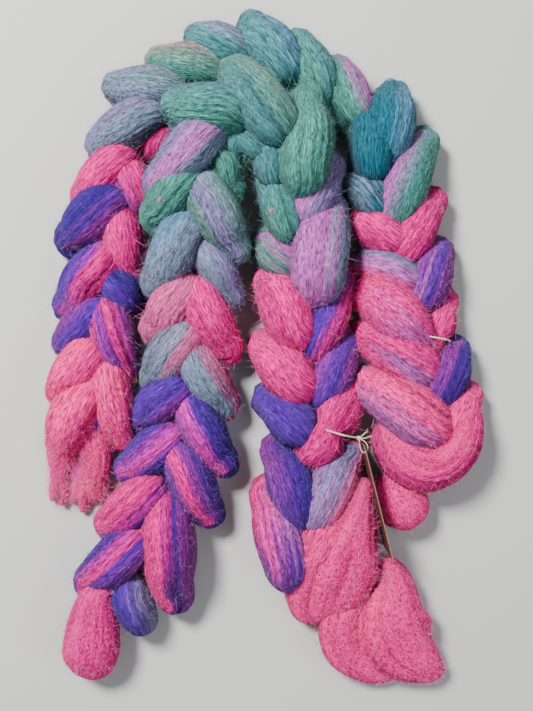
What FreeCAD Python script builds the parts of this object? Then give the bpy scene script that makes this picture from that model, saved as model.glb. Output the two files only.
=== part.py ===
import FreeCAD, Part
import os
from math import acos, atan2, cos, degrees, hypot, pi, radians, sin, tan

import Sketcher
from FreeCAD import Placement, Rotation, Vector

# Two lengths of combed wool top, each worked into a chain braid and laid as an arch, the inner
# arch resting partly on the outer one. Each chain stitch is one loop of the wool: two fat legs
# that stand in a V and a closed head that joins their far ends underneath the next stitch.
# Units are millimetres. The origin is on the table under the middle of the pair, +Z is up,
# and +Y runs from the ends of the four arms to the top of the arches.

UP = Vector(0, 0, 1)
ACROSS = Vector(0, 1, 0)

SIZES = {
    "leg_depth_ratio": 1.35,      # height of a leg over its width
    "leg_depth_limit": 52,        # the weight of the wool lets no leg stand higher
    "leg_sink": 0.88,             # height of a leg's middle over its half height
    "leg_end_cover": 9,           # a leg runs on this far under its neighbours, each end
    "leg_tilt": 7,                # degrees: its base climbs over the stitch before
    "end_cover": 6,
    "end_sink": 0.85,
    "string_diameter": 1.5,
    "knot_diameter": 5,
    "tag_length": 89,
    "tag_width": 51,
    "tag_thickness": 0.8,
    "tag_hole": 5,
    "tag_hole_inset": 6,          # from the hole's middle to the card's two nearest edges
}

LOBE_SIDES = 12
RING_LATITUDES = (-72, -45, -15, 15, 45, 72)

# One row for each stitch in the order of working: the leg on the inside of the arch, the leg
# on the outside, and how far the braid is lifted there by what it lies on. A leg is
# (base x, base y, tip x, tip y, width).
OUTER_STITCHES = [
    ((134, -63, 89, -31, 38), (147, -66, 161, -39, 28), 0),
    ((128, -19, 87, 8, 34), (137, -41, 155, -2, 29), 0),
    ((126, 8, 87, 42, 37), (133, -3, 145, 35, 25), 0),
    ((115, 52, 84, 66, 31), (126, 37, 139, 74, 29), 0),
    ((103, 83, 80, 99, 29), (112, 75, 133, 114, 29), 0),
    ((92, 110, 74, 133, 29), (103, 104, 125, 159, 32), 0),
    ((87, 141, 88, 179, 34), (97, 155, 103, 196, 35), 0),
    ((66, 179, 58, 199, 22), (76, 182, 64, 221, 29), 0),
    ((42, 191, 23, 201, 20), (48, 201, 32, 242, 31), 0),
    ((17, 208, -4, 206, 21), (20, 218, -6, 256, 35), 0),
    ((-17, 213, -35, 205, 21), (-18, 228, -48, 250, 32), 0),
    ((-35, 205, -56, 192, 21), (-32, 217, -81, 232, 32), 0),
    ((-64, 185, -75, 176, 20), (-65, 199, -111, 206, 31), 0),
    ((-81, 171, -87, 157, 22), (-84, 184, -123, 162, 32), 0),
    ((-105, 140, -94, 110, 26), (-108, 148, -136, 122, 31), 0),
    ((-112, 105, -105, 61, 25), (-116, 115, -147, 88, 34), 0),
    ((-117, 54, -105, 38, 24), (-122, 71, -149, 36, 33), 0),
    ((-123, 30, -110, -14, 26), (-127, 33, -152, 5, 29), 0),
    ((-122, -17, -114, -68, 26), (-133, -3, -155, -33, 32), 0),
    ((-130, -41, -132, -72, 23), (-136, -38, -155, -72, 34), 0),
]
INNER_STITCHES = [
    ((21, -176, 7, -119, 34), (38, -166, 58, -127, 31), 0),
    ((32, -129, 15, -84, 34), (43, -133, 66, -86, 34), 0),
    ((34, -69, 10, -42, 35), (40, -82, 66, -38, 35), 0),
    ((30, -31, 7, 0, 35), (46, -38, 64, 2, 30), 2),
    ((26, 11, 10, 50, 35), (41, -2, 62, 48, 30), 5),
    ((22, 63, 4, 80, 26), (42, 45, 48, 104, 42), 12),
    ((21, 88, 8, 127, 28), (34, 101, 51, 137, 28), 20),
    ((11, 129, 2, 158, 24), (31, 125, 35, 184, 35), 28),
    ((1, 148, -16, 160, 22), (14, 163, -16, 203, 35), 32),
    ((-16, 166, -22, 147, 20), (-20, 175, -58, 181, 33), 32),
    ((-34, 149, -22, 124, 22), (-37, 164, -74, 127, 33), 28),
    ((-45, 122, -22, 79, 32), (-53, 133, -78, 102, 32), 22),
    ((-44, 79, -25, 43, 26), (-55, 94, -79, 52, 34), 16),
    ((-50, 45, -30, 3, 31), (-58, 49, -80, 17, 31), 9),
    ((-54, -2, -32, -42, 31), (-58, 12, -80, -22, 32), 6),
    ((-57, -44, -34, -87, 31), (-62, -31, -90, -53, 31), 4),
    ((-63, -83, -44, -128, 32), (-70, -67, -101, -95, 31), 2),
    ((-73, -125, -70, -191, 37), (-84, -108, -116, -138, 32), 0),
    ((-103, -187, -97, -214, 25), (-97, -149, -131, -184, 34), 0),
]

# The ends of the two chains, as lobes of (from x, from y, to x, to y, width, height).
ENDS = {
    "outer_start_tail": [(106, -114, 120, -137, 36, 30)],
    "outer_start_wrap": [(100, -77, 135, -102, 34, 42), (141, -99, 161, -57, 36, 44)],
    "outer_finish_tail": [
        (-146, -51, -165, -111, 24, 28),
        (-136, -54, -126, -111, 23, 28),
        (-142, -64, -141, -123, 20, 22),
    ],
    "inner_start_fan": [(76, -122, 57, -166, 30, 44), (64, -151, 37, -194, 62, 46)],
    "inner_start_tail": [(80, -194, 98, -236, 62, 34), (98, -224, 138, -256, 42, 30)],
    "inner_finish_loop": [(-124, -203, -134, -242, 45, 46)],
}

# What lies over each end, and over the stitches beside it. Every stitch also lies under the
# two that follow it.
LIES_UNDER = {
    "outer_start_tail": ["outer_start_wrap"],
    "outer_start_wrap": ["outer_stitch_01", "outer_stitch_02"],
    "outer_finish_tail": ["outer_stitch_19", "outer_stitch_20"],
    "inner_start_tail": ["inner_start_fan"],
    "inner_stitch_01": ["inner_start_fan"],
    "inner_stitch_02": ["inner_start_fan"],
    "inner_stitch_18": ["inner_finish_loop"],
    "inner_stitch_19": ["inner_finish_loop"],
}
FOLLOWERS = 2

# The two strings, each a closed route round one leg in an upright plane: the middle of the
# plane on the table, its heading from +X in degrees, and the points (across, height).
OUTER_TIE = (Vector(134.5, 7.5, 0), -11, [
    (-13, 17), (-13, 32), (-6, 43), (6, 43), (13, 32), (13, 17), (6, 6), (-6, 6),
])
INNER_TIE = (Vector(59, -65, 0), -15, [
    (-17, 17), (-17, 34), (-9, 47), (4, 51), (14, 43), (18, 29), (15, 13), (4, 5), (-9, 6),
])
KNOT = Vector(75, -69.3, 38.5)
TAG_HOLE = Vector(79, -79, 46)
TAG_HEADING = -76                # degrees from +X, the way the card's long edge points


def add_sheet(doc):
    sheet = doc.addObject("Spreadsheet::Sheet", "sizes")
    for row, (name, value) in enumerate(SIZES.items(), start=1):
        sheet.set(f"A{row}", name)
        sheet.set(f"B{row}", str(value))
        sheet.setAlias(f"B{row}", name)
    doc.recompute()
    return sheet


def lies_under(label):
    """The pieces over this one, nearest follower last."""
    upper = list(LIES_UNDER.get(label, []))
    braid, kind, number = label.split("_")
    if kind == "stitch":
        count = len(OUTER_STITCHES if braid == "outer" else INNER_STITCHES)
        for later in range(int(number) + 1, min(int(number) + FOLLOWERS, count) + 1):
            upper.append(f"{braid}_stitch_{later:02d}")
    return upper


def lobe_shape(half_length, half_width, half_depth):
    """A faceted spindle along X: flat faces keep its joins with its neighbours exact."""
    rings = []
    for latitude in RING_LATITUDES:
        reach, girth = sin(radians(latitude)), cos(radians(latitude))
        ring = []
        for side in range(LOBE_SIDES):
            turn = 2 * pi * (side + 0.5) / LOBE_SIDES
            ring.append(Vector(half_length * reach, half_width * girth * cos(turn),
                               half_depth * girth * sin(turn)))
        rings.append(ring)
    outlines = [rings[0], rings[-1]]
    for near, far in zip(rings, rings[1:]):
        for side in range(LOBE_SIDES):
            after = (side + 1) % LOBE_SIDES
            outlines.append([near[side], near[after], far[after], far[side]])
    faces = [Part.Face(Part.makePolygon(outline + outline[:1])) for outline in outlines]
    return Part.makeSolid(Part.makeShell(faces))


def add_lobe(doc, name, ends, width, depth, cover, sink, lift, tilt):
    """One spindle of wool lying from one point on the table to another."""
    x0, y0, x1, y1 = ends
    lobe = doc.addObject("Part::Feature", name)
    lobe.Shape = lobe_shape(hypot(x1 - x0, y1 - y0) / 2 + cover, width / 2, depth / 2)
    heading = degrees(atan2(y1 - y0, x1 - x0))
    middle = Vector((x0 + x1) / 2, (y0 + y1) / 2, depth / 2 * sink + lift)
    lobe.Placement = Placement(middle, Rotation(UP, heading) * Rotation(ACROSS, tilt))
    return lobe


def add_fused(doc, label, lobes):
    fused = doc.addObject("Part::MultiFuse", f"{label}_lobes")
    fused.Shapes = lobes
    return fused


def add_stitch(doc, sheet, label, inner, outer, lift):
    legs = []
    for side, leg in (("inner", inner), ("outer", outer)):
        depth = min(leg[4] * sheet.leg_depth_ratio, sheet.leg_depth_limit)
        legs.append(add_lobe(doc, f"{label}_{side}_leg", leg[:4], leg[4], depth,
                             sheet.leg_end_cover, sheet.leg_sink, lift, sheet.leg_tilt))
    return add_fused(doc, label, legs)


def add_end(doc, sheet, label, lobe_rows):
    lobes = [
        add_lobe(doc, f"{label}_lobe_{number}", row[:4], row[4], row[5],
                 sheet.end_cover, sheet.end_sink, 0, 0)
        for number, row in enumerate(lobe_rows, start=1)
    ]
    return lobes[0] if len(lobes) == 1 else add_fused(doc, label, lobes)


def add_node(doc, label, wool, upper, table):
    """The table presses a piece flat, and what lies over it presses its own shape into it."""
    pressed = wool
    presses = [table] + upper
    for number, press in enumerate(presses, start=1):
        name = label if number == len(presses) else f"{label}_pressed_{number}"
        cut = doc.addObject("Part::Cut", name)
        cut.Base = pressed
        cut.Tool = press
        pressed = cut
    pressed.Label = label
    return pressed


def closed_route(points):
    """A closed path of straight runs joined by tangent arcs, for a string pulled tight."""
    count = len(points)
    corners = []
    for index, point in enumerate(points):
        before = (points[index - 1] - point).normalize()
        after = (points[(index + 1) % count] - point).normalize()
        turn = acos(max(-1, min(1, -before.dot(after))))
        run = min(point.distanceToPoint(points[index - 1]),
                  point.distanceToPoint(points[(index + 1) % count]))
        setback = 0.45 * run
        radius = setback / tan(turn / 2)
        start = point + before * setback
        end = point + after * setback
        bisector = (before + after).normalize()
        centre_distance = hypot(radius, setback)
        middle = point + bisector * (centre_distance - radius)
        corners.append((start, middle, end, radius))
    edges = []
    for index, (start, middle, end, _) in enumerate(corners):
        edges.append(Part.LineSegment(corners[index - 1][2], start).toShape())
        edges.append(Part.Arc(start, middle, end).toShape())
    print("tightest string bend", round(min(corner[3] for corner in corners), 1))
    return Part.Wire(Part.__sortEdges__(edges))


def add_tie(doc, label, tie, diameter, knot_diameter=None, knot=None):
    middle, heading, points = tie
    sideways = Rotation(UP, heading).multVec(Vector(1, 0, 0))
    path = closed_route([middle + sideways * across + UP * height for across, height in points])
    start = path.Edges[0].valueAt(path.Edges[0].FirstParameter)
    tangent = path.Edges[0].tangentAt(path.Edges[0].FirstParameter)
    section = Part.Wire(Part.makeCircle(diameter / 2, start, tangent))
    string = path.makePipeShell([section], True, False)
    area = Part.Face(section).Area
    print(label, "length", round(path.Length, 1), "volume over section", round(string.Volume / area, 1))
    if knot is not None:
        string = string.fuse(Part.makeSphere(knot_diameter / 2, knot))
    feature = doc.addObject("Part::Feature", label)
    feature.Label = label
    feature.Shape = string
    return feature


def add_tag(doc):
    """A stiff card standing on its long edge, with the string's hole in its upper near corner."""
    body = doc.addObject("PartDesign::Body", "hang_tag")
    body.Label = "hang_tag"
    sketch = body.newObject("Sketcher::SketchObject", "card_outline")
    plane = next(f for f in body.Origin.OriginFeatures if f.Role == "XZ_Plane")
    sketch.AttachmentSupport = (plane, [""])
    sketch.MapMode = "FlatFace"
    inset = SIZES["tag_hole_inset"]
    left, right = -inset, SIZES["tag_length"] - inset
    bottom, top = inset - SIZES["tag_width"], inset
    corners = [(left, bottom), (right, bottom), (right, top), (left, top)]
    for index, (x, y) in enumerate(corners):
        next_x, next_y = corners[(index + 1) % 4]
        sketch.addGeometry(Part.LineSegment(Vector(x, y, 0), Vector(next_x, next_y, 0)))
    for index in range(4):
        sketch.addConstraint(Sketcher.Constraint("Coincident", index, 2, (index + 1) % 4, 1))
    for index, kind in enumerate(("Horizontal", "Vertical", "Horizontal", "Vertical")):
        sketch.addConstraint(Sketcher.Constraint(kind, index))
    for name, kind, first, value in (
        ("length", "DistanceX", (0, 1, 0, 2), "sizes.tag_length"),
        ("width", "DistanceY", (1, 1, 1, 2), "sizes.tag_width"),
        ("inset_along", "DistanceX", (3, 2, -1, 1), "sizes.tag_hole_inset"),
        ("inset_down", "DistanceY", (-1, 1, 2, 1), "sizes.tag_hole_inset"),
    ):
        index = sketch.addConstraint(Sketcher.Constraint(kind, *first, SIZES["tag_hole_inset"]))
        sketch.renameConstraint(index, name)
        sketch.setExpression(f"Constraints.{name}", value)
    hole = sketch.addGeometry(Part.Circle(Vector(0, 0, 0), UP, SIZES["tag_hole"] / 2))
    sketch.addConstraint(Sketcher.Constraint("Coincident", hole, 3, -1, 1))
    size = sketch.addConstraint(Sketcher.Constraint("Diameter", hole, SIZES["tag_hole"]))
    sketch.renameConstraint(size, "hole")
    sketch.setExpression("Constraints.hole", "sizes.tag_hole")
    card = body.newObject("PartDesign::Pad", "card")
    card.Profile = sketch
    card.setExpression("Length", "sizes.tag_thickness")
    card.Midplane = True
    body.Placement = Placement(TAG_HOLE, Rotation(UP, TAG_HEADING))
    return body


TABLE_SIDE = 900
TABLE_DEPTH = 60


def build():
    doc = FreeCAD.newDocument("wool_braids")
    sheet = add_sheet(doc)
    table = doc.addObject("Part::Box", "table")
    table.Length = table.Width = TABLE_SIDE
    table.Height = TABLE_DEPTH
    table.Placement.Base = Vector(-TABLE_SIDE / 2, -TABLE_SIDE / 2, -TABLE_DEPTH)

    wool = {}
    for braid, rows in (("outer", OUTER_STITCHES), ("inner", INNER_STITCHES)):
        for number, (inner, outer, lift) in enumerate(rows, start=1):
            label = f"{braid}_stitch_{number:02d}"
            wool[label] = add_stitch(doc, sheet, label, inner, outer, lift)
    for label, rows in ENDS.items():
        wool[label] = add_end(doc, sheet, label, rows)
    doc.recompute()

    nodes = []
    for label, piece in wool.items():
        nodes.append(add_node(doc, label, piece, [wool[name] for name in lies_under(label)], table))
    string = SIZES["string_diameter"]
    nodes.append(add_tie(doc, "outer_tie", OUTER_TIE, string))
    nodes.append(add_tie(doc, "inner_tie", INNER_TIE, string, SIZES["knot_diameter"], KNOT))
    nodes.append(add_tag(doc))
    doc.recompute()
    return doc, nodes


def export(doc, nodes):
    for item in doc.Objects:
        if {"Invalid", "Error"} & set(item.State):
            raise RuntimeError(f"{item.Label} failed: {item.State}")
    for node in nodes:
        shape = node.Shape
        if shape.isNull() or not shape.isValid() or not shape.Solids:
            raise RuntimeError(f"{node.Label} has no sound solid")
    os.makedirs("parts", exist_ok=True)
    for node in nodes:
        node.Shape.exportStep(f"parts/{node.Label}.step")
    print(len(nodes), "nodes")


document, sub_parts = build()
export(document, sub_parts)
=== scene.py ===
# %% [markdown]
# Two braids of hand-dyed wool top. Combed top is a soft rope of parallel fibres, as thick as a
# wrist and as light as a handful of down, and a dyer sells it worked into a chain braid so that
# it can't tangle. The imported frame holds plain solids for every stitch. This file gives each
# stitch its real look: one fat loop of wool, grooved along its fibres, with a halo of fine hair.

# %% Load the frame
import math

import bpy
import numpy as np
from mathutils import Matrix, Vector


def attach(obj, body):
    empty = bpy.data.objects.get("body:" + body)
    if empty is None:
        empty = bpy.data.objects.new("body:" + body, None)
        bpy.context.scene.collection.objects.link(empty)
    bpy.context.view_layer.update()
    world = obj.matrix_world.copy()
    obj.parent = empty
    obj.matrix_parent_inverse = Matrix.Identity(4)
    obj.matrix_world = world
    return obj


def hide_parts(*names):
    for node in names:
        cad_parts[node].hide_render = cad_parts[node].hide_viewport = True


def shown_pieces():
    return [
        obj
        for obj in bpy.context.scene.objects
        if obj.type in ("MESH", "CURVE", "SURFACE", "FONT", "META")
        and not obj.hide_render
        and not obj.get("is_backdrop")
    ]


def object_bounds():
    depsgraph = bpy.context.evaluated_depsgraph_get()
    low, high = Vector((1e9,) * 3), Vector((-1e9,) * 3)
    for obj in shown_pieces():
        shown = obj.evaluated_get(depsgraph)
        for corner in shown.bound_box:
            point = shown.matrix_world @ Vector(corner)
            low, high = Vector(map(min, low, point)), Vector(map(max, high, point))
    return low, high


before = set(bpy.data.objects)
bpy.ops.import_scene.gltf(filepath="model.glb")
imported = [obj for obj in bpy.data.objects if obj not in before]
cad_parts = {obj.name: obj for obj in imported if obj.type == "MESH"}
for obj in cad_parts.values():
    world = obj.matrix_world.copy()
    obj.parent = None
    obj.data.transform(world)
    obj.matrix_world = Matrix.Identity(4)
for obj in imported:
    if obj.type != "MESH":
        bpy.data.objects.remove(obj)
cad_box = [list(corner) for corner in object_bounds()]
MM = 0.001
OUTER = "outer_braid"
INNER = "inner_braid"

# %% [markdown]
# The braids are seen from straight above, as they lie on a table, so the camera hangs over the
# middle and looks down. A fairly long lens keeps the flanks of the arms hidden, as they should be.
# The lens is worked out from how much is in view at the height of the braids' middle layer.

# %% Camera, table and lights
CAMERA_HEIGHT = 0.700
MIDDLE_LAYER = 0.035
SENSOR_HEIGHT = 24
VIEW_HEIGHT = 0.547
VIEW_MIDDLE = (0.0042, -0.0059)


def add_camera():
    data = bpy.data.cameras.new("overhead_camera")
    data.sensor_fit = "VERTICAL"
    data.sensor_height = SENSOR_HEIGHT
    data.lens = SENSOR_HEIGHT * (CAMERA_HEIGHT - MIDDLE_LAYER) / VIEW_HEIGHT
    camera = bpy.data.objects.new("overhead_camera", data)
    camera.location = (*VIEW_MIDDLE, CAMERA_HEIGHT)
    bpy.context.scene.collection.objects.link(camera)
    bpy.context.scene.camera = camera


def add_softbox(name, place, size, power, tint):
    data = bpy.data.lights.new(name, "AREA")
    data.shape = "DISK"
    data.size = size
    data.energy = power
    data.color = tint
    lamp = bpy.data.objects.new(name, data)
    lamp.location = place
    aim = Vector((0, 0, 0.03)) - Vector(place)
    lamp.rotation_euler = aim.to_track_quat("-Z", "Y").to_euler()
    bpy.context.scene.collection.objects.link(lamp)


def add_table():
    bpy.ops.object.select_all(action="DESELECT")
    bpy.ops.mesh.primitive_plane_add(size=6)
    table = bpy.context.object
    table.name = "table_top"
    paper = bpy.data.materials.new("pale_table")
    paper.use_nodes = True
    shader = paper.node_tree.nodes["Principled BSDF"]
    shader.inputs["Base Color"].default_value = (0.60, 0.60, 0.59, 1)
    shader.inputs["Roughness"].default_value = 0.8
    table.data.materials.append(paper)
    table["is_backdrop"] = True


add_camera()
add_table()
add_softbox("window_light", (-0.75, 0.75, 1.35), 0.45, 64, (1.0, 0.985, 0.96))
add_softbox("room_fill", (1.2, -0.6, 1.3), 1.2, 11, (0.93, 0.96, 1.0))
world = bpy.data.worlds.new("soft_room")
world.use_nodes = True
sky = world.node_tree.nodes["Background"]
sky.inputs["Color"].default_value = (0.9, 0.95, 1.0, 1)
sky.inputs["Strength"].default_value = 0.24
bpy.context.scene.world = world
print("camera", round(CAMERA_HEIGHT, 3), "m up")

# %% [markdown]
# Each braid has an undyed string tied round one leg. A string pulled tight is a cord: a fixed
# length on a smooth line. Its route lies in an upright plane round the leg, and the spline's
# control points are the route's own points. The string itself is two plies twisted together, so
# the tube's section is a figure of eight that turns as it goes.

# %% Strings: the route, read back as a smooth line
STRING_DIAMETER = 0.0015
STRING_STEP = 0.0006
STRING_SIDES = 14
TWIST_PITCH = 0.0042
TOP_OF_ROUTE = 3
PLY_MEAN = 0.80
PLY_SWELL = 0.22
OUTER_TIE = ((134.5, 7.5), -11, (
    (-13, 17), (-13, 32), (-6, 43), (6, 43), (13, 32), (13, 17), (6, 6), (-6, 6),
))
INNER_TIE = ((59, -65), -15, (
    (-17, 17), (-17, 34), (-9, 47), (4, 51), (14, 43), (18, 29), (15, 13), (4, 5), (-9, 6),
))


def smooth_line(points, name):
    """Points along the NURBS spline that has the route as its control points."""
    curve = bpy.data.curves.new(name, "CURVE")
    curve.dimensions = "3D"
    curve.resolution_u = 16
    spline = curve.splines.new("NURBS")
    spline.points.add(len(points) - 1)
    for knot, point in zip(spline.points, points):
        knot.co = (*point, 1)
    spline.order_u = 3
    spline.use_endpoint_u = True
    holder = bpy.data.objects.new(name, curve)
    bpy.context.scene.collection.objects.link(holder)
    bpy.context.view_layer.update()
    line = bpy.data.meshes.new_from_object(holder)
    places = np.array([v.co[:] for v in line.vertices])
    bpy.data.objects.remove(holder)
    bpy.data.curves.remove(curve)
    bpy.data.meshes.remove(line)
    return places


def evenly(places, step):
    """The same line with points a fixed distance apart."""
    gaps = np.linalg.norm(np.diff(places, axis=0), axis=1)
    along = np.concatenate([[0], np.cumsum(gaps)])
    count = max(8, int(round(along[-1] / step)))
    stations = np.linspace(0, along[-1], count + 1)
    return np.stack([np.interp(stations, along, places[:, axis]) for axis in range(3)], axis=1)


def line_length(places):
    return float(np.linalg.norm(np.diff(places, axis=0), axis=1).sum())


# %% [markdown]
# Strings, wool and hair are all tubes, and every tube here is a set of rings of points. One
# helper joins the rings with quads, one closes the ends, and one turns points and faces into a
# piece. A whole mesh is filled in at once, because that is quick even for thousands of hairs.

# %% Mesh helpers shared by strings, wool and hair
def unit(vectors):
    return vectors / np.maximum(np.linalg.norm(vectors, axis=-1, keepdims=True), 1e-12)


def tube_faces(rings, sides):
    """Quads round a tube, with a fan of triangles on an extra point at each end."""
    ring, side = np.meshgrid(np.arange(rings - 1), np.arange(sides), indexing="ij")
    after = (side + 1) % sides
    quads = np.stack([ring * sides + side, ring * sides + after,
                      (ring + 1) * sides + after, (ring + 1) * sides + side], axis=-1)
    edge = np.arange(sides)
    turn = (edge + 1) % sides
    first, last = rings * sides, rings * sides + 1
    near = np.stack([np.full(sides, first), turn, edge], axis=-1)
    far = np.stack([np.full(sides, last), (rings - 1) * sides + edge,
                    (rings - 1) * sides + turn], axis=-1)
    return quads.reshape(-1, 4), np.concatenate([near, far])


def make_mesh(name, points, quads, triangles):
    mesh = bpy.data.meshes.new(name)
    mesh.vertices.add(len(points))
    mesh.vertices.foreach_set("co", np.asarray(points, dtype=np.float32).ravel())
    corners = np.concatenate([quads.ravel(), triangles.ravel()]).astype(np.int32)
    mesh.loops.add(len(corners))
    mesh.loops.foreach_set("vertex_index", corners)
    counts = np.concatenate([np.full(len(quads), 4), np.full(len(triangles), 3)])
    starts = np.concatenate([[0], np.cumsum(counts)[:-1]])
    mesh.polygons.add(len(counts))
    mesh.polygons.foreach_set("loop_start", starts.astype(np.int32))
    mesh.polygons.foreach_set("loop_total", counts.astype(np.int32))
    mesh.update(calc_edges=True)
    mesh.validate()
    mesh.shade_smooth()
    piece = bpy.data.objects.new(name, mesh)
    bpy.context.scene.collection.objects.link(piece)
    return piece


def section_frames(centre):
    """Tangent, sideways and upward directions along a line that mostly lies flat."""
    tangent = unit(np.gradient(centre, axis=0))
    sideways = unit(np.cross(tangent, np.array([0.0, 0.0, 1.0])))
    return tangent, sideways, np.cross(sideways, tangent)


# %% Strings: twisted tubes
def add_string(name, middle, heading, route, body, node, material, on_it=()):
    turn = math.radians(heading)
    across = np.array([math.cos(turn), math.sin(turn), 0.0])
    base = np.array([middle[0], middle[1], 0.0])
    points = [(base + across * x + np.array([0, 0, z])) * MM for x, z in route]
    points = points[TOP_OF_ROUTE:] + points[:TOP_OF_ROUTE + 1]
    line = evenly(smooth_line(points, name), STRING_STEP)
    tangent = unit(np.gradient(line, axis=0))
    flat = np.cross(across, np.array([0.0, 0.0, 1.0]))
    inward = np.cross(tangent, flat)
    angle = np.arange(STRING_SIDES) / STRING_SIDES * 2 * math.pi
    spin = np.arange(len(line))[:, None] * STRING_STEP / TWIST_PITCH * 2 * math.pi
    radius = STRING_DIAMETER / 2 * (PLY_MEAN + PLY_SWELL * np.cos(2 * (angle[None, :] - spin)))
    ring = np.cos(angle)[None, :, None] * flat + np.sin(angle)[None, :, None] * inward[:, None, :]
    body_points = line[:, None, :] + ring * radius[..., None]
    points_all = np.concatenate([body_points.reshape(-1, 3), line[:1], line[-1:]])
    quads, caps = tube_faces(len(line), STRING_SIDES)
    string = make_mesh(name, points_all, quads, caps)
    string.data.materials.append(material)
    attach(string, body)
    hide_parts(node)
    print(name, "length", round(line_length(line), 4), "m")


# %% [markdown]
# The dyes. A hand dyer lays colour on the wool in long patches, and where two patches meet the
# fibres of both run side by side, so a change of colour is a set of fine streaks and never a
# clean line. Each dye is named here as a maker would name it, in the numbers of a screen.

# %% Dye palette
DYES = {
    "rose": (0.91, 0.02, 0.54),
    "coral": (1.00, 0.15, 0.55),
    "pink": (0.98, 0.09, 0.58),
    "dusty": (0.84, 0.34, 0.58),
    "magenta": (0.84, 0.10, 0.66),
    "plum": (0.54, 0.14, 0.58),
    "mauve": (0.72, 0.36, 0.70),
    "violet": (0.32, 0.11, 0.62),
    "deep": (0.21, 0.08, 0.50),
    "lilac": (0.50, 0.45, 0.66),
    "slate": (0.45, 0.51, 0.62),
    "blue": (0.32, 0.52, 0.66),
    "teal": (0.08, 0.38, 0.46),
    "sea": (0.26, 0.50, 0.52),
    "sage": (0.34, 0.53, 0.49),
    "green": (0.28, 0.55, 0.50),
    "tan": (0.62, 0.54, 0.52),
}


def linear(colour):
    """A screen colour as amounts of light, which is what a shader reads."""
    return np.array([c / 12.92 if c < 0.04045 else ((c + 0.055) / 1.055) ** 2.4 for c in colour])


LINEAR_DYES = {name: linear(colour) for name, colour in DYES.items()}


# %% [markdown]
# The wool's finish. The colour comes from the mesh, where it was worked out along the fibres,
# with painted shade in the creases and on the lower flanks and a little painted light on top.
# The shader adds what is finer than the mesh: hair-thin streaks and crimp, read on a map whose
# one axis runs along the strand, and a soft sheen, because light catches the fibres that stand up.

# %% Wool material
def add_node(tree, kind, **inputs):
    node = tree.nodes.new(kind)
    for name, value in inputs.items():
        node.inputs[name.replace("_", " ")].default_value = value
    return node


def mapped(tree, source, scale, turn=0.0):
    mapping = add_node(tree, "ShaderNodeMapping", Scale=scale, Rotation=(0, 0, turn))
    tree.links.new(source, mapping.inputs["Vector"])
    return mapping.outputs["Vector"]


def mixed(tree, blend, factor, first, second):
    """One Mix node of two colours; a number or a socket may be given for each."""
    mix = tree.nodes.new("ShaderNodeMix")
    mix.data_type = "RGBA"
    mix.blend_type = blend
    wanted = ((mix.inputs[0], factor), (mix.inputs[6], first), (mix.inputs[7], second))
    for socket, value in wanted:
        if isinstance(value, bpy.types.NodeSocket):
            tree.links.new(value, socket)
        else:
            socket.default_value = value
    return mix.outputs[2]


def ranged(tree, source, low, high, new_low, new_high):
    ramp = add_node(tree, "ShaderNodeMapRange", From_Min=low, From_Max=high,
                    To_Min=new_low, To_Max=new_high)
    tree.links.new(source, ramp.inputs["Value"])
    return ramp.outputs["Result"]


def wool_material(name, along, cross, contrast):
    """along and cross: fibre marks in a metre down and across the strand; contrast: 0 is plain."""
    wool = bpy.data.materials.new(name)
    wool.use_nodes = True
    tree = wool.node_tree
    shader = tree.nodes["Principled BSDF"]
    # The mesh colour read here is the dye with painted shade in the creases and on the lower flanks.
    dye = tree.nodes.new("ShaderNodeAttribute")
    dye.attribute_name = "dye"
    strand = tree.nodes.new("ShaderNodeUVMap")
    strand.uv_map = "strand"

    def noise(scale, detail, distortion, turn=0.0):
        node = add_node(tree, "ShaderNodeTexNoise", Scale=1.0, Detail=detail, Roughness=0.62)
        node.inputs["Distortion"].default_value = distortion
        tree.links.new(mapped(tree, strand.outputs["UV"], scale, turn), node.inputs["Vector"])
        return node.outputs["Fac"]

    fine = noise((cross, along, 1), 4, 0.5)
    crimp = noise((cross * 0.9, along * 2.0, 1), 4, 0.8, turn=0.25)
    patches = noise((110, 34, 1), 2, 0.5)
    tone = ranged(tree, fine, 0.34, 0.66, 1 - 0.70 * contrast, 1 + 0.66 * contrast)
    curl = ranged(tree, crimp, 0.34, 0.62, 1 - 0.42 * contrast, 1 + 0.22 * contrast)
    uptake = ranged(tree, patches, 0.30, 0.70, 0.84, 1.14)
    for other in (curl, uptake):
        product = tree.nodes.new("ShaderNodeMath")
        product.operation = "MULTIPLY"
        tree.links.new(tone, product.inputs[0])
        tree.links.new(other, product.inputs[1])
        tone = product.outputs[0]
    grey = tree.nodes.new("ShaderNodeCombineColor")
    for channel in grey.inputs:
        tree.links.new(tone, channel)
    tree.links.new(mixed(tree, "MULTIPLY", 1.0, dye.outputs["Color"], grey.outputs["Color"]),
                   shader.inputs["Base Color"])
    shader.inputs["Roughness"].default_value = 0.86
    shader.inputs["Specular IOR Level"].default_value = 0.16
    shader.inputs["Sheen Weight"].default_value = 0.07
    shader.inputs["Sheen Roughness"].default_value = 0.5
    shader.inputs["Sheen Tint"].default_value = (1.0, 0.86, 0.94, 1)
    relief = tree.nodes.new("ShaderNodeMath")
    relief.operation = "ADD"
    tree.links.new(fine, relief.inputs[0])
    tree.links.new(crimp, relief.inputs[1])
    bump = add_node(tree, "ShaderNodeBump", Strength=0.9, Distance=0.0012)
    tree.links.new(relief.outputs[0], bump.inputs["Height"])
    tree.links.new(bump.outputs["Normal"], shader.inputs["Normal"])
    return wool


WOOL = wool_material("combed_wool", along=250, cross=1250, contrast=1.0)
TEASED = wool_material("teased_wool", along=360, cross=1200, contrast=0.85)


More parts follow.
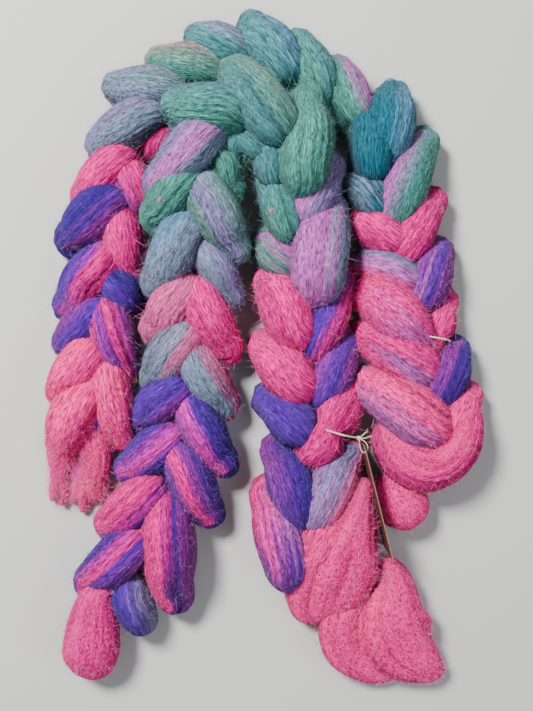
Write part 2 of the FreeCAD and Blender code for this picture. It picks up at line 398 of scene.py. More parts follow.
def string_material():
    cotton = bpy.data.materials.new("undyed_string")
    cotton.use_nodes = True
    tree = cotton.node_tree
    shader = tree.nodes["Principled BSDF"]
    place = tree.nodes.new("ShaderNodeTexCoord")
    fibres = add_node(tree, "ShaderNodeTexNoise", Scale=2400.0, Detail=3.0)
    tree.links.new(place.outputs["Object"], fibres.inputs["Vector"])
    shade = mixed(tree, "MIX", ranged(tree, fibres.outputs["Fac"], 0.35, 0.7, 0, 1),
                  (0.55, 0.45, 0.32, 1), (0.86, 0.80, 0.66, 1))
    tree.links.new(shade, shader.inputs["Base Color"])
    shader.inputs["Roughness"].default_value = 0.8
    shader.inputs["Sheen Weight"].default_value = 0.2
    return cotton


STRING = string_material()

# %% [markdown]
# The knot. The inner string is tied off on top: three hard little turns, two ends cut a few
# millimetres long that fray where they were cut, and a loop of thread that holds the tag. The
# turns are rings from the Torus tool, tipped over each other. Ends, frays and loop are curves
# with a round bevel and closed caps, turned into mesh and joined to the rings.

# %% Knot, cut ends and tag loop
KNOT_AT = (75.0, -69.3, 39.2)
KNOT_WIDTH = 1.45
KNOT_THREAD = 0.62
CUT_END_THREAD = 0.40
LOOP_THREAD = 0.32
FRAY_THREAD = 0.12
FRAYS = 7
KNOT_TURNS = ((0.35, 0.10, 0.30), (1.25, 0.20, -0.60), (0.80, -0.70, 1.30))
CUT_ENDS = (
    ((75, -69.3, 39.5), (77.6, -69.0, 42.4), (80.0, -68.6, 43.0), (82.4, -67.6, 42.2)),
    ((75, -69.3, 39.5), (76.6, -67.4, 42.2), (77.8, -66.0, 43.2), (79.4, -64.6, 42.4)),
)
TAG_LOOP = (
    (75, -69.3, 40.0), (80.0, -71.2, 42.8), (81.4, -77.0, 45.4), (79.0, -79.2, 46.6),
    (77.2, -79.6, 45.4), (75.0, -75.6, 43.0), (75, -69.3, 39.6),
)


def add_thread(points, radius):
    """A round thread through the points, closed at both ends, as mesh."""
    curve = bpy.data.curves.new("thread", "CURVE")
    curve.dimensions = "3D"
    curve.bevel_depth = radius * MM
    curve.bevel_resolution = 2
    curve.use_fill_caps = True
    spline = curve.splines.new("NURBS")
    spline.points.add(len(points) - 1)
    for point, place in zip(spline.points, points):
        point.co = (*(MM * c for c in place), 1)
    spline.order_u = 3
    spline.use_endpoint_u = True
    thread = bpy.data.objects.new("thread", curve)
    bpy.context.scene.collection.objects.link(thread)
    bpy.ops.object.select_all(action="DESELECT")
    thread.select_set(True)
    bpy.context.view_layer.objects.active = thread
    bpy.ops.object.convert(target="MESH")
    return bpy.context.object


def add_knot(name, body):
    rng = np.random.default_rng(5)
    parts = []
    for turn in KNOT_TURNS:
        bpy.ops.object.select_all(action="DESELECT")
        bpy.ops.mesh.primitive_torus_add(
            major_radius=KNOT_WIDTH * MM, minor_radius=KNOT_THREAD * MM, major_segments=28,
            minor_segments=12, rotation=turn, location=[MM * c for c in KNOT_AT])
        parts.append(bpy.context.object)
    for route in CUT_ENDS:
        parts.append(add_thread(route, CUT_END_THREAD))
        tip = np.array(route[-1])
        heading = tip - np.array(route[-2])
        for _ in range(FRAYS):
            way = heading * rng.uniform(0.5, 1.1) + rng.normal(0, 0.7, 3)
            end = tip + way + rng.normal(0, 0.4, 3)
            parts.append(add_thread((tip - heading * 0.25, tip + way * 0.5, end), FRAY_THREAD))
    parts.append(add_thread(TAG_LOOP, LOOP_THREAD))
    bpy.ops.object.select_all(action="DESELECT")
    for part in parts:
        part.select_set(True)
    bpy.context.view_layer.objects.active = parts[0]
    bpy.ops.object.join()
    knot = bpy.context.object
    bpy.ops.object.transform_apply(location=True, rotation=True, scale=True)
    knot.name = name
    knot.data.materials.clear()
    knot.data.materials.append(STRING)
    for face in knot.data.polygons:
        face.material_index = 0
    knot.data.shade_smooth()
    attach(knot, body)
    print(name, len(knot.data.polygons), "faces")
    return knot


tag_knot = add_knot("inner_tie_knot", INNER)

# %% [markdown]
# The hang tag. It is a stiff card that stands on its edge. Its broad faces are a dark red-brown,
# partly the card's own colour and partly painted shade, and its cut edges show the paler raw
# board. The card is already the right shape in the frame, so only its finish is made here. A
# mapping node lays one axis through the card's thickness, which tells the shader whether it is on
# a face or on a cut edge.

# %% Card finish
TAG_HOLE = (0.079, -0.079, 0.046)
TAG_HEADING = -76
CARD_THICKNESS = 0.0008


def card_material():
    card = bpy.data.materials.new("dark_card_with_painted_shade")
    card.use_nodes = True
    tree = card.node_tree
    shader = tree.nodes["Principled BSDF"]
    place = tree.nodes.new("ShaderNodeTexCoord")
    turned = add_node(tree, "ShaderNodeMapping", Location=TAG_HOLE,
                      Rotation=(0, 0, math.radians(TAG_HEADING)))
    turned.vector_type = "TEXTURE"
    tree.links.new(place.outputs["Object"], turned.inputs["Vector"])
    axes = tree.nodes.new("ShaderNodeSeparateXYZ")
    tree.links.new(turned.outputs["Vector"], axes.inputs["Vector"])
    depth = tree.nodes.new("ShaderNodeMath")
    depth.operation = "ABSOLUTE"
    tree.links.new(axes.outputs["Y"], depth.inputs[0])
    on_face = ranged(tree, depth.outputs[0], 0.44 * CARD_THICKNESS, 0.48 * CARD_THICKNESS, 0, 1)
    pulp = add_node(tree, "ShaderNodeTexNoise", Scale=900.0, Detail=5.0, Roughness=0.7)
    tree.links.new(place.outputs["Object"], pulp.inputs["Vector"])
    speck = ranged(tree, pulp.outputs["Fac"], 0.35, 0.68, 0, 1)
    # Face colour: dark red-brown card with painted shade in it; the edge is the raw board.
    face = mixed(tree, "MIX", speck, (0.070, 0.022, 0.016, 1), (0.150, 0.050, 0.034, 1))
    edge = mixed(tree, "MIX", speck, (0.20, 0.09, 0.06, 1), (0.33, 0.18, 0.12, 1))
    tree.links.new(mixed(tree, "MIX", on_face, edge, face), shader.inputs["Base Color"])
    gloss = ranged(tree, pulp.outputs["Fac"], 0.3, 0.7, 0.48, 0.72)
    tree.links.new(gloss, shader.inputs["Roughness"])
    bump = add_node(tree, "ShaderNodeBump", Strength=0.3, Distance=0.0001)
    tree.links.new(pulp.outputs["Fac"], bump.inputs["Height"])
    tree.links.new(bump.outputs["Normal"], shader.inputs["Normal"])
    return card


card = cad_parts["hang_tag"]
card.data.materials.clear()
card.data.materials.append(card_material())
print("card", [round(side, 3) for side in card.dimensions], "m")

# %% [markdown]
# With the knot made, both strings can go round their legs. Each stands for the plain band in the
# frame, and the inner one carries the knot.

# %% Both strings
add_string("outer_tie_string", *OUTER_TIE, OUTER, "outer_tie", STRING)
add_string("inner_tie_string", *INNER_TIE, INNER, "inner_tie", STRING, [tag_knot])


# %% [markdown]
# The lay of the braids. Each row is one chain stitch in the order it was worked: the leg on the
# inside of the arch, the leg on the outside, and how far other wool lifts the braid there. A leg
# is where its base and tip lie on the table and how wide it swells, in millimetres. Most legs are
# the same as in the frame, and a few are moved or widened by up to 7 mm, where the rounder wool
# needs it to keep its outline. The last two words say how each leg is dyed, from the inside of
# the arch to the outside, and "violet>rose" is a patch that changes from the base of the leg to
# its tip.

# %% Stitches of both braids
OUTER_STITCHES = [
    ((134, -63, 89, -31, 38), (147, -66, 161, -39, 28), 0, "mauve coral coral", "coral"),
    ((128, -19, 87, 8, 34), (137, -41, 155, -2, 29), 0, "mauve>rose rose", "plum deep violet"),
    ((126, 8, 87, 42, 37), (133, -3, 145, 35, 25), 0, "mauve>pink rose", "pink"),
    ((115, 52, 84, 66, 31), (126, 37, 139, 74, 29), 0,
     "coral mauve lilac", "mauve>plum violet plum"),
    ((103, 83, 80, 99, 29), (112, 75, 133, 114, 29), 0, "rose", "rose"),
    ((92, 110, 74, 133, 29), (103, 104, 125, 159, 32), 0, "teal>slate", "mauve sea green"),
    ((87, 141, 88, 179, 34), (97, 155, 103, 196, 35), 0, "teal teal", "teal teal blue"),
    ((66, 179, 58, 199, 22), (76, 182, 62, 217, 29), 0, "sea", "green green mauve"),
    ((42, 191, 23, 201, 20), (48, 201, 31, 238, 30), 0, "sea", "green sea"),
    ((17, 208, -4, 206, 21), (20, 218, -5, 249, 34), 0, "sea", "sea sea blue"),
    ((-17, 213, -35, 205, 21), (-18, 228, -46, 243, 31), 0, "sea", "sea sea slate"),
    ((-35, 205, -56, 192, 21), (-32, 217, -78, 226, 31), 0, "green", "green sage tan"),
    ((-64, 185, -75, 176, 20), (-65, 199, -111, 206, 31), 0, "slate", "slate sage>slate slate"),
    ((-81, 171, -87, 157, 22), (-84, 184, -123, 162, 32), 0, "rose", "slate slate lilac"),
    ((-105, 140, -94, 110, 29), (-108, 148, -136, 122, 31), 0, "rose rose>plum", "rose"),
    ((-112, 105, -104, 61, 30), (-116, 115, -147, 88, 34), 0, "rose", "plum deep deep"),
    ((-117, 54, -104, 38, 28), (-122, 71, -149, 36, 33), 0, "deep violet", "rose rose>plum violet"),
    ((-122, 30, -109, -14, 31), (-127, 33, -152, 5, 29), 0,
     "plum rose violet rose", "violet violet plum"),
    ((-121, -17, -113, -66, 31), (-133, -3, -155, -33, 32), 0, "coral", "rose coral"),
    ((-130, -41, -132, -72, 25), (-136, -38, -155, -72, 34), 0, "violet coral", "coral"),
]
INNER_STITCHES = [
    ((21, -176, 7, -119, 34), (38, -166, 58, -127, 31), 0, "plum>rose violet>mauve", "coral"),
    ((32, -129, 15, -84, 34), (43, -133, 66, -86, 34), 0,
     "violet>plum deep", "mauve>lilac lilac dusty"),
    ((34, -69, 10, -42, 35), (40, -82, 66, -38, 35), 0, "violet", "rose"),
    ((30, -31, 7, 0, 35), (46, -38, 64, 2, 30), 2, "rose", "plum violet violet>plum"),
    ((26, 11, 10, 50, 35), (41, -2, 62, 48, 30), 5, "rose", "violet violet rose"),
    ((22, 63, 4, 80, 26), (42, 45, 48, 104, 42), 12, "sage mauve", "mauve mauve mauve slate"),
    ((21, 88, 8, 127, 28), (34, 101, 51, 137, 28), 20, "green>sea", "mauve lilac"),
    ((11, 129, 2, 158, 24), (31, 125, 35, 184, 35), 28, "sea", "green"),
    ((1, 148, -16, 160, 22), (14, 163, -16, 203, 35), 32, "sea", "sea sage"),
    ((-16, 166, -22, 147, 20), (-20, 175, -58, 181, 33), 32, "sea", "green sea"),
    ((-34, 149, -22, 124, 22), (-37, 164, -74, 127, 33), 28, "green", "slate mauve lilac"),
    ((-45, 122, -22, 79, 32), (-53, 133, -78, 102, 32), 22, "sage slate lilac sage", "green"),
    ((-44, 79, -25, 43, 26), (-55, 94, -79, 52, 34), 16, "lilac slate", "slate blue>slate"),
    ((-50, 45, -30, 3, 31), (-58, 49, -80, 17, 31), 9, "rose", "dusty"),
    ((-54, -2, -32, -42, 31), (-58, 12, -80, -22, 32), 6,
     "dusty slate slate slate", "dusty>slate slate"),
    ((-57, -44, -34, -87, 31), (-62, -31, -90, -53, 31), 4,
     "deep violet magenta plum", "plum violet violet"),
    ((-63, -83, -44, -128, 32), (-70, -67, -101, -95, 31), 2,
     "violet plum rose violet", "violet magenta violet"),
    ((-73, -125, -70, -191, 37), (-84, -108, -116, -138, 32), 0,
     "plum deep rose rose", "violet rose rose"),
    ((-103, -187, -96, -214, 30), (-97, -149, -131, -184, 34), 0,
     "lilac violet deep", "plum violet rose violet"),
]

# %% [markdown]
# A loop of wool. A chain stitch is one length of the strand: it comes up through the stitch
# before, runs out along one leg, turns back underneath the next stitch and comes home along the
# other leg. It is built as a tube along that path, because only a tube keeps the fibres running
# along the strand. Each ring of points is pushed in and out by locks, which are rounded bundles
# of fibres with sharp creases between them, and the weight of the wool flattens what meets the
# table.

# %% Fibres round a strand
def wander(v, rng, size):
    """A slow drift along the strand, different for every call."""
    total = 0
    for waves in (1, 2, 3):
        swing = rng.normal(0, size / waves)
        total = total + swing * np.sin(math.pi * waves * v + rng.uniform(0, 2 * math.pi))
    return total


def streaks(u, v, rng, cycles):
    """Fine streaks along the strand; whole cycles round it, so that they meet."""
    total = np.zeros_like(u)
    drift = wander(v, rng, 0.010)
    for count in cycles:
        phase = rng.uniform(0, 1) + wander(v, rng, 0.35)
        total += rng.normal() * np.cos(2 * math.pi * (count * (u + drift) + phase))
    return total / math.sqrt(len(cycles))


def locks(u, v, rng, count):
    """Rounded bundles, from 0 in a crease to 1 on a crown, uneven in width and depth."""
    warp = u + wander(v, rng, 0.018)
    for waves in (1, 2, 3):
        swing = rng.normal(0, 0.022 / waves)
        warp = warp + swing * np.sin(2 * math.pi * (waves * u + rng.uniform()))
    crown = np.abs(np.cos(math.pi * (count * warp + rng.uniform(0, 1))))
    depth = np.clip(0.42 + 0.48 * streaks(u, v, rng, (1, 2, 3, 4)), 0.04, 1)
    depth = depth * np.clip(0.75 + wander(v, rng, 0.5), 0.2, 1)
    return 1 - depth * (1 - crown ** 0.6)


def smooth_rows(rows, count):
    """A Catmull-Rom curve through rows of numbers, and the row number at each of its points."""
    rows = np.asarray(rows, dtype=float)
    padded_rows = np.concatenate([[2 * rows[0] - rows[1]], rows, [2 * rows[-1] - rows[-2]]])
    dense = np.linspace(0, len(rows) - 1, 12 * len(rows))
    index = np.minimum(dense.astype(int), len(rows) - 2)
    t = (dense - index)[:, None]
    a, b, c, d = (padded_rows[index + k] for k in range(4))
    curve = 2 * b + (c - a) * t + (2 * a - 5 * b + 4 * c - d) * t**2 + (3 * b - a - 3 * c + d) * t**3
    curve = 0.5 * curve
    gaps = np.linalg.norm(np.diff(curve[:, :3], axis=0), axis=1)
    along = np.concatenate([[0], np.cumsum(gaps)])
    stations = np.linspace(0, along[-1], count)
    columns = [np.interp(stations, along, column) for column in curve.T]
    return np.stack(columns, axis=1), np.interp(stations, along, dense), along[-1]


# %% [markdown]
# Dye on one leg. A recipe names its patches from one side of the leg to the other. Each patch
# weighs most at its own place, and a jitter of fine streaks pushes the places about, so that the
# fibres of two patches mix where they meet.

# %% Dye along and across a strand
def blend_dyes(recipe, across, progress, jitter):
    """The colour at each point of one leg, streaked where patches meet."""
    patches = [patch.split(">") for patch in recipe.split()]
    spot = (across + 1) / 2 * len(patches) + 0.34 * jitter * (len(patches) > 1)
    change = np.clip((progress - 0.3 + 0.22 * jitter) / 0.4, 0, 1)
    change = (change * change * (3 - 2 * change))[..., None]
    total = np.zeros(across.shape + (3,))
    weight = np.zeros(across.shape + (1,))
    for number, patch in enumerate(patches):
        near, far = LINEAR_DYES[patch[0]], LINEAR_DYES[patch[-1]]
        share = np.exp(-((spot - number - 0.5) / 0.56) ** 2)[..., None] + 1e-6
        total += share * (near * (1 - change) + far * change)
        weight += share
    return total / weight


# %% [markdown]
# A tied string squeezes soft wool into a waist. Close to each string, and only there, the strand
# keeps less of its width, and the waist fades out over a few millimetres on both sides.

# %% Where the strings pull the wool in
TIE_GRIP = 0.34
TIE_REACH = 6.0
TIE_SPAN = 30.0


def pinch(centre):
    """How much of its width the wool keeps near each string."""
    keep = np.ones(len(centre))
    for middle, heading, _ in (OUTER_TIE, INNER_TIE):
        turn = math.radians(heading)
        offset = centre[:, :2] - np.array(middle)
        across = np.abs(offset[:, 1] * math.cos(turn) - offset[:, 0] * math.sin(turn))
        along = np.abs(offset[:, 0] * math.cos(turn) + offset[:, 1] * math.sin(turn))
        near = np.exp(-(across / TIE_REACH) ** 2) * (along < TIE_SPAN)
        keep = keep * (1 - TIE_GRIP * near)
    return keep


# %% [markdown]
# One strand, from rows of numbers to a finished tube. Big locks, small locks and single fibres
# push the skin in and out by less and less. The same creases are darkened in the dye colour as
# painted shade, because little light gets down between the locks, and the lower flanks are painted
# darker and the tops a little lighter in the same way. Each ring here runs the other way round
# from a string's ring, so the faces are turned over to point outwards.

# %% Build one strand of wool
STRAND_SIDES = 88
STRAND_RINGS = 92
REST_HEIGHT = 0.0003
LOCK_DEPTH = 1.9
SMALL_LOCK_DEPTH = 1.1
FIBRE_DEPTH = 0.30
FULL_RELIEF_AT = 15
hair_roots = {OUTER: [], INNER: []}


def painted_wool_shade(crease, fine, sine):
    """Painted shade and light on the dye: darker in the creases and the lower flanks, a little
    lighter on top.
    """
    painted_flank_shade = 0.48 + 0.60 * np.clip(0.1 + 0.9 * sine, 0, 1)
    return (0.34 + 0.66 * crease ** 1.8 + 0.05 * fine) * painted_flank_shade


def wool_strand(name, rows, dyer, seed, lock_count=9, finish=WOOL,
                rings=STRAND_RINGS, sides=STRAND_SIDES):
    """rows are (x, y, z, half width, half height) in millimetres along the strand."""
    rng = np.random.default_rng(seed)
    curve, row_number, length = smooth_rows(rows, rings)
    squeeze = pinch(curve[:, :3])
    centre = curve[:, :3]
    half_width = curve[:, 3] * squeeze
    half_height = curve[:, 4] * squeeze
    tangent, sideways, upward = section_frames(centre)
    v = np.linspace(0, 1, rings)[:, None] * np.ones(sides)
    u = np.arange(sides)[None, :] / sides * np.ones((rings, 1))
    angle = 2 * math.pi * u - math.pi / 2
    cosine = np.cos(angle)
    sine = np.sin(angle)
    lump = 1 + 0.05 * streaks(u, v, rng, (1, 2, 3)) + wander(v, rng, 0.035)
    wide = half_width[:, None] * lump
    high = half_height[:, None] * lump
    end_round = np.sqrt(np.clip(1 - np.abs(2 * v - 1) ** 16, 0.0, 1))
    coarse = locks(u, v, rng, lock_count)
    medium = locks(u, v, rng, 2 * lock_count + 3)
    fine = streaks(u, v, rng, range(24, 52, 2))
    relief = LOCK_DEPTH * (coarse - 1) + SMALL_LOCK_DEPTH * (medium - 1) + FIBRE_DEPTH * fine
    reach = np.minimum(half_width, half_height)[:, None] / FULL_RELIEF_AT
    push = relief * np.clip(reach, 0.45, 1.15)
    normal = cosine[..., None] * (high[..., None] * sideways[:, None, :])
    normal = unit(normal + sine[..., None] * (wide[..., None] * upward[:, None, :]))
    shell = centre[:, None, :] + (cosine * wide * end_round)[..., None] * sideways[:, None, :]
    shell = shell + (sine * high * end_round)[..., None] * upward[:, None, :]
    shell = (shell + normal * push[..., None]) * MM
    points = np.concatenate([shell.reshape(-1, 3), shell[:1].mean(axis=1), shell[-1:].mean(axis=1)])
    points[:, 2] = np.maximum(points[:, 2], REST_HEIGHT)
    quads, caps = tube_faces(rings, sides)
    piece = make_mesh(name, points, quads[:, ::-1], caps[:, ::-1])

    jitter = streaks(u, v, rng, (4, 6, 9, 13, 17, 22, 28, 35))
    colour = dyer(cosine, row_number[:, None] * np.ones(sides), jitter)
    # Painted shade: the colour is darkened in the creases and on the lower flanks and lightened a
    # little on top.
    crease = np.clip(0.5 * coarse + 0.5 * medium, 0, 1)
    shade = painted_wool_shade(crease, fine, sine)
    colour = np.clip(colour * shade[..., None] * (1 + 0.10 * jitter[..., None]), 0.002, 1)
    flat = np.concatenate([colour.reshape(-1, 3), colour[:1, 0], colour[-1:, 0]])
    opaque = np.concatenate([flat, np.ones((len(flat), 1))], axis=1)
    # The "dye" attribute holds the dye with this painted shade multiplied in.
    dye_with_painted_shade = piece.data.color_attributes.new("dye", "FLOAT_COLOR", "POINT")
    dye_with_painted_shade.data.foreach_set("color", opaque.astype(np.float32).ravel())

    girth = math.pi * float(np.mean(half_width + half_height)) * MM
    ring, side = np.meshgrid(np.arange(rings - 1), np.arange(sides), indexing="ij")
    step_u = girth / sides
    step_v = length * MM / rings
    corners = [(side, ring + 1), (side + 1, ring + 1), (side + 1, ring), (side, ring)]
    quad_map = np.stack([np.stack([a * step_u, b * step_v], axis=-1) for a, b in corners], axis=2)
    cap_map = np.zeros((len(caps) * 3, 2))
    strand = piece.data.uv_layers.new(name="strand")
    mapped_corners = np.concatenate([quad_map.reshape(-1, 2), cap_map]) + rng.uniform(0, 3, 2)
    strand.data.foreach_set("uv", mapped_corners.astype(np.float32).ravel())
    piece.data.materials.append(finish)
    return piece, shell, normal, tangent, colour, rng


def finish_wool(made, body, nodes, hairs, reach=1.0):
    """Hand a piece to its body and leave roots on it for the loose fibres."""
    piece, shell, normal, tangent, colour, rng = made
    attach(piece, body)
    if nodes:
        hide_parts(*nodes)
    rings, sides = shell.shape[:2]
    ring = rng.integers(3, rings - 3, hairs)
    side = rng.integers(int(0.16 * sides), int(0.84 * sides), hairs)
    along = tangent[ring] * rng.choice([-1.0, 1.0], hairs)[:, None]
    hair_roots[body].append((shell[ring, side], normal[ring, side], along, colour[ring, side],
                             np.full(hairs, reach)))


# %% [markdown]
# Now the loops. Each leg is given six rows from foot to tip: thin where it comes up through the
# stitch before, fattest past its middle, and low and thin where the next stitch covers it. One
# more row in between is the hidden head, so a loop has thirteen rows, counted from nought.

# %% Turn a row of the lay into a loop
HAIRS_PER_LOOP = 2050
TALLEST_LEG = 52
FOOT_ROW = 0.5
LEG_ROWS = 4.2
CHANGE_ROW = 5.5
LAST_ROW = 12


def loop_rows(inner, outer, lift, rng):
    """The path of one chain stitch, from its foot up one leg, round the head and down the other."""
    tips = []
    paths = []
    for x0, y0, x1, y1, width in (inner, outer):
        base = np.array([x0, y0], float)
        tip = np.array([x1, y1], float)
        run = np.linalg.norm(tip - base)
        along = (tip - base) / run
        height = min(1.35 * width, TALLEST_LEG)
        half = width / 2
        stations = (
            (-0.13 * run - 4, 0.20, 0.60),
            (0.00 * run, 0.43, 0.95),
            (0.22 * run, 0.57, 1.12),
            (0.55 * run, 0.55, 1.14),
            (0.86 * run, 0.37, 1.00),
            (1.06 * run + 3, 0.20, 0.76),
        )
        rows = []
        for distance, level, girth in stations:
            place = base + along * distance + rng.normal(0, 0.5, 2)
            rows.append((*place, lift + level * height, half * girth, half * girth * 1.16))
        paths.append(rows)
        tips.append((tip, along, width, height))
    (tip_a, along_a, width_a, height_a), (tip_b, along_b, width_b, height_b) = tips
    forward = along_a + along_b
    forward = forward / np.linalg.norm(forward)
    width = (width_a + width_b) / 2
    height = (height_a + height_b) / 2
    head = (tip_a + tip_b) / 2 + forward * 0.24 * width
    head_row = (*head, lift + 0.16 * height, 0.28 * width, 0.28 * width)
    return paths[0] + [head_row] + paths[1][::-1]


def loop_dyer(inner_recipe, outer_recipe):
    """The dye of a whole loop: one recipe for each leg, changed over at the head."""
    def dyer(cosine, row_number, jitter):
        going_out = np.clip((row_number - FOOT_ROW) / LEG_ROWS, 0, 1)
        coming_home = np.clip((LAST_ROW - FOOT_ROW - row_number) / LEG_ROWS, 0, 1)
        first = blend_dyes(inner_recipe, cosine, going_out, jitter)
        second = blend_dyes(outer_recipe, -cosine, coming_home, jitter)
        share = np.clip(row_number - CHANGE_ROW + 0.3 * jitter, 0, 1)[..., None]
        return first * (1 - share) + second * share
    return dyer


def add_braid(braid, body, stitches, first_seed):
    for number, (inner, outer, lift, inner_recipe, outer_recipe) in enumerate(stitches, start=1):
        seed = first_seed + number
        rows = loop_rows(inner, outer, lift, np.random.default_rng(seed))
        made = wool_strand(f"{braid}_wool_loop_{number:02d}", rows,
                           loop_dyer(inner_recipe, outer_recipe), seed)
        node = f"{braid}_stitch_{number:02d}"
        finish_wool(made, body, [node], HAIRS_PER_LOOP)


add_braid("outer", OUTER, OUTER_STITCHES, 100)
add_braid("inner", INNER, INNER_STITCHES, 200)
print(len(OUTER_STITCHES) + len(INNER_STITCHES), "loops")

# %% [markdown]
# The ends of the chains aren't stitches. The outer braid starts with a wrap round its own foot
# and a short tail tucked behind it, and stops in three tufts pulled apart by hand. The inner
# braid starts in a long flat fan that folds and twists back on itself, and stops in the last
# loop, drawn through and left closed.

# %% Ends of both braids
def plain_dyer(recipe, rows):
    """The dye of a strand that has one recipe from start to end."""
    def dyer(cosine, row_number, jitter):
        return blend_dyes(recipe, cosine, row_number / (rows - 1), jitter)
    return dyer


ENDS = [
    ("outer_start_tail_wool", OUTER, ["outer_start_tail"], "coral", 6, 800, [
        (96, -100, 12, 11, 10), (105, -116, 17, 18, 15), (115, -128, 16, 19, 15),
        (122, -138, 11, 12, 10),
    ]),
    ("outer_start_wrap_wool", OUTER, ["outer_start_wrap"], "coral coral rose", 8, 1600, [
        (99, -58, 14, 10, 12), (102, -70, 20, 16, 18), (112, -85, 24, 20, 22),
        (131, -91, 25, 22, 23), (150, -79, 24, 20, 22), (159, -59, 22, 16, 19),
        (158, -40, 14, 11, 13),
    ]),
    ("outer_finish_tuft_left", OUTER, ["outer_finish_tail"], "rose coral", 5, 1500, [
        (-151, -44, 12, 8, 10), (-157, -64, 16, 11, 14), (-159, -82, 13, 11, 12),
        (-161, -98, 9, 8, 8), (-164, -113, 7, 5, 5), (-166, -119, 6, 3, 4),
    ]),
    ("outer_finish_tuft_right", OUTER, [], "coral coral pink", 6, 1900, [
        (-133, -36, 14, 10, 13), (-134, -53, 18, 14, 16), (-133, -72, 17, 14, 15),
        (-131, -90, 13, 12, 12), (-135, -106, 9, 11, 8), (-139, -117, 7, 13, 5),
        (-140, -124, 5, 7, 4),
    ]),
    ("outer_finish_tuft_middle", OUTER, [], "rose magenta", 4, 900, [
        (-151, -70, 9, 8, 8), (-148, -88, 8, 7, 7), (-145, -104, 7, 6, 6), (-146, -115, 5, 3, 4),
    ]),
    ("inner_start_fan_wool", INNER, ["inner_start_fan"], "coral", 9, 2600, [
        (82, -101, 24, 6, 9), (77, -118, 26, 12, 15), (71, -135, 25, 21, 19),
        (64, -151, 24, 30, 21), (57, -171, 22, 36, 20), (51, -190, 19, 35, 17),
        (48, -205, 15, 27, 13), (51, -215, 11, 15, 9),
    ]),
    ("inner_start_tail_wool", INNER, ["inner_start_tail"], "coral", 9, 2600, [
        (98, -166, 12, 8, 10), (104, -187, 16, 17, 14), (102, -213, 18, 29, 16),
        (111, -237, 15, 27, 14), (131, -253, 11, 15, 10), (146, -260, 7, 6, 6),
    ]),
    ("inner_start_fold_wool", INNER, [], "coral", 7, 1200, [
        (82, -186, 12, 9, 10), (70, -202, 15, 14, 13), (62, -222, 15, 15, 14),
        (67, -240, 13, 15, 12), (86, -254, 10, 13, 9), (108, -260, 7, 8, 6),
    ]),
    ("inner_finish_loop_wool", INNER, ["inner_finish_loop"], "pink pink>rose pink", 8, 1500, [
        (-118, -176, 18, 11, 14), (-127, -193, 22, 14, 19), (-130, -207, 23, 19, 21),
        (-133, -231, 21, 22, 20), (-136, -247, 16, 20, 15), (-139, -257, 10, 13, 10),
    ]),
]
for seed, (name, body, nodes, recipe, lock_count, hairs, rows) in enumerate(ENDS, start=300):
    made = wool_strand(name, rows, plain_dyer(recipe, len(rows)), seed, lock_count, TEASED)
    finish_wool(made, body, nodes, hairs, reach=1.4)
print(len(ENDS), "ends")

# %% [markdown]
# Wool that has been pulled apart by hand ends in torn wisps. Five thin strands, made like the
# rest but with fewer points, run out of the tufts and lie on the table.

# %% Torn wisps
WISP_LOCKS = 3
WISP_RINGS = 40
WISP_SIDES = 44
WISPS = [
    ("outer_finish_wisp_1", [(-137, -100, 11, 7, 7), (-141, -117, 8, 5, 5), (-144, -132, 5, 2, 3)]),
    ("outer_finish_wisp_2", [(-131, -96, 11, 7, 7), (-128, -108, 8, 5, 5), (-124, -119, 5, 2, 3)]),
    ("outer_finish_wisp_3", [(-143, -98, 9, 5, 5), (-148, -112, 6, 4, 4), (-151, -125, 5, 2, 3)]),
    ("outer_finish_wisp_4", [(-161, -96, 9, 5, 5), (-166, -111, 7, 4, 4), (-168, -123, 5, 2, 3)]),
    ("outer_finish_wisp_5", [(-157, -98, 8, 5, 5), (-158, -114, 6, 4, 4), (-160, -127, 5, 2, 3)]),
]
for seed, (name, rows) in enumerate(WISPS, start=400):
    dyer = plain_dyer("rose coral", len(rows))
    made = wool_strand(name, rows, dyer, seed, WISP_LOCKS, TEASED, WISP_RINGS, WISP_SIDES)
    finish_wool(made, OUTER, [], hairs=420, reach=1.5)
print(len(WISPS), "wisps")

# %% [markdown]
# Loose fibres. Wool is never smooth: thousands of hairs stand a few millimetres off the strand
# and catch the light. Each is modelled as a thin closed sliver, bent at random. The slivers are
# gathered by body and by family of colour, so that a family is one or two pieces with one plain
# finish. No hair roots on the underside, and one that would reach far past the frame's box is
# left out.

# %% Flyaway hairs
# Hair colour by family: the hue of the dye, made paler as a painted highlight on hairs that catch
# the light.
HAIR_FAMILIES = {
    "rose": (1.0, 0.46, 0.73),
    "plum": (0.80, 0.46, 0.80),
    "violet": (0.44, 0.31, 0.74),
    "slate": (0.58, 0.63, 0.73),
    "teal": (0.38, 0.62, 0.61),
}
HAIRS_IN_A_PIECE = 19000
HAIR_ROOM = 0.0075
HAIR_LENGTH = 3.8
LONGEST_HAIR = 11
LOWEST_ROOT = 0.0025
SLIVER_POINTS = 7


def hair_material(family, colour):
    hair = bpy.data.materials.new(f"{family}_hair")
    hair.use_nodes = True
    shader = hair.node_tree.nodes["Principled BSDF"]
    shader.inputs["Base Color"].default_value = (*linear(colour), 1)
    shader.inputs["Roughness"].default_value = 0.6
    shader.inputs["Sheen Weight"].default_value = 0.3
    return hair


